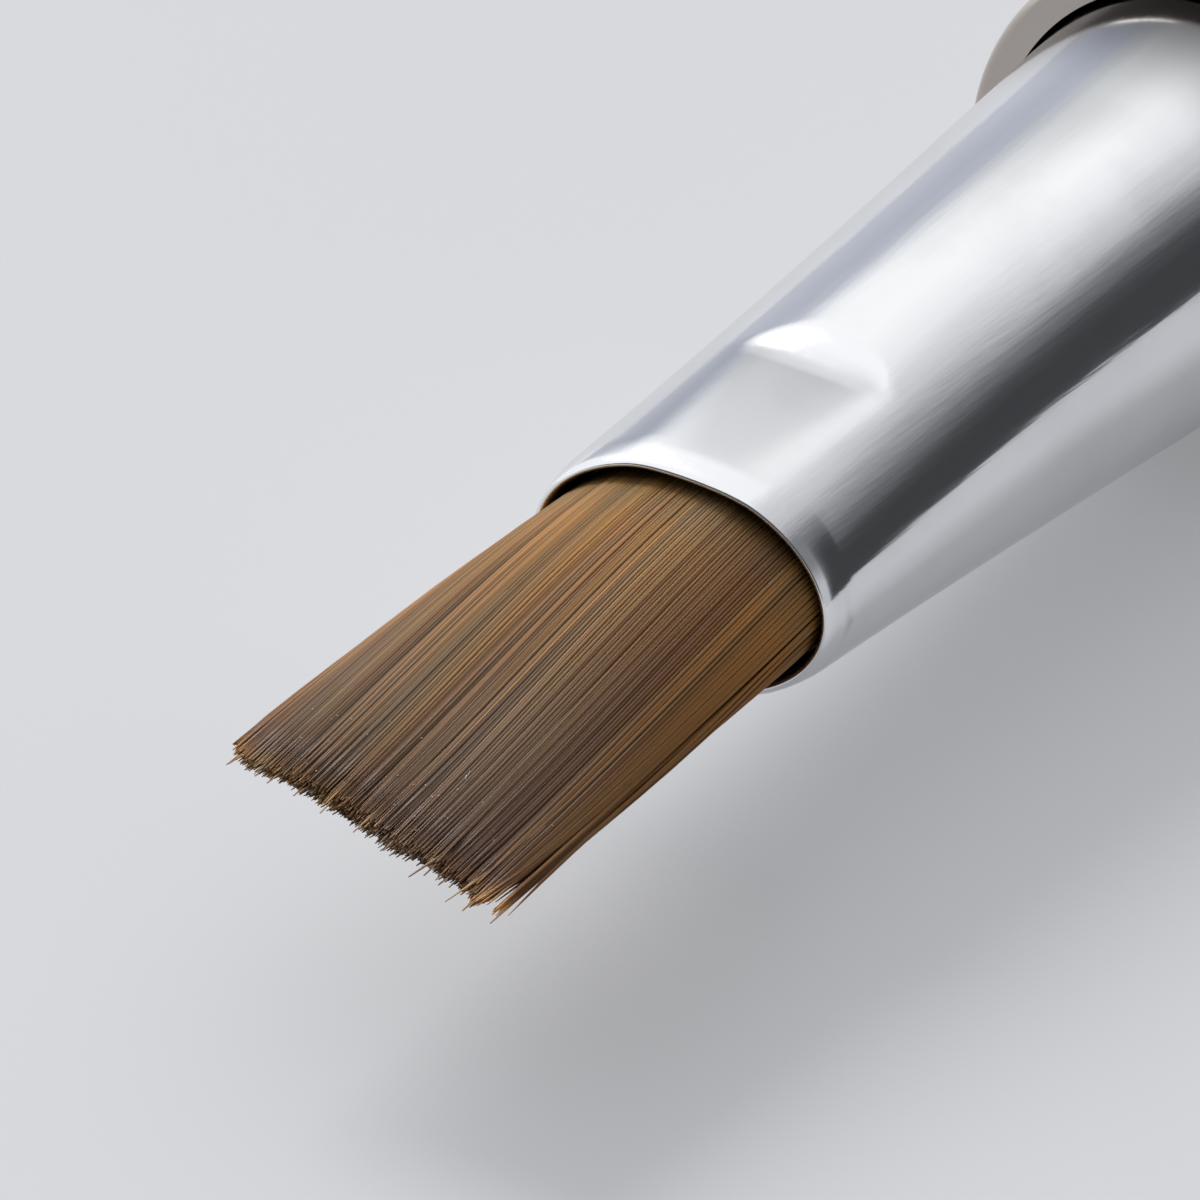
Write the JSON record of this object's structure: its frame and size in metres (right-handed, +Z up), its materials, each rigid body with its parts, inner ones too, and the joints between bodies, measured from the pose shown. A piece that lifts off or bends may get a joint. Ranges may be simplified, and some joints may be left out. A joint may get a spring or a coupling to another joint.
{
  "type": "lip brush",
  "caption": "Flat lip brush: hair tuft in a pressed aluminium ferrule on a slim round metal-sleeved handle.",
  "frame": {"origin": "Under the middle of the brush, on the surface that the handle lies on.", "axes": "+X runs along the brush to the hair, +Y across the flat of the tuft, +Z up, square to the flat of the tuft."},
  "size_m": [0.1384, 0.0098, 0.0098],
  "materials": {
    "hair": "fine straight hair, golden brown with darker tips",
    "thread": "waxed linen thread",
    "resin": "clear amber set resin",
    "ferrule_metal": "bright satin drawn aluminium",
    "cement": "set cement",
    "core_wood": "plain turned birch",
    "sleeve_metal": "polished, rose gold anodised",
    "tail_metal": "polished, rose gold anodised"
  },
  "bodies": {
    "root": {"hair_tuft": "hair", "knot_thread": "thread", "root_resin": "resin", "ferrule": "ferrule_metal", "tenon_cement": "cement", "handle_core": "core_wood", "handle_sleeve": "sleeve_metal", "tail_cap": "tail_metal"}
  },
  "joints": []
}
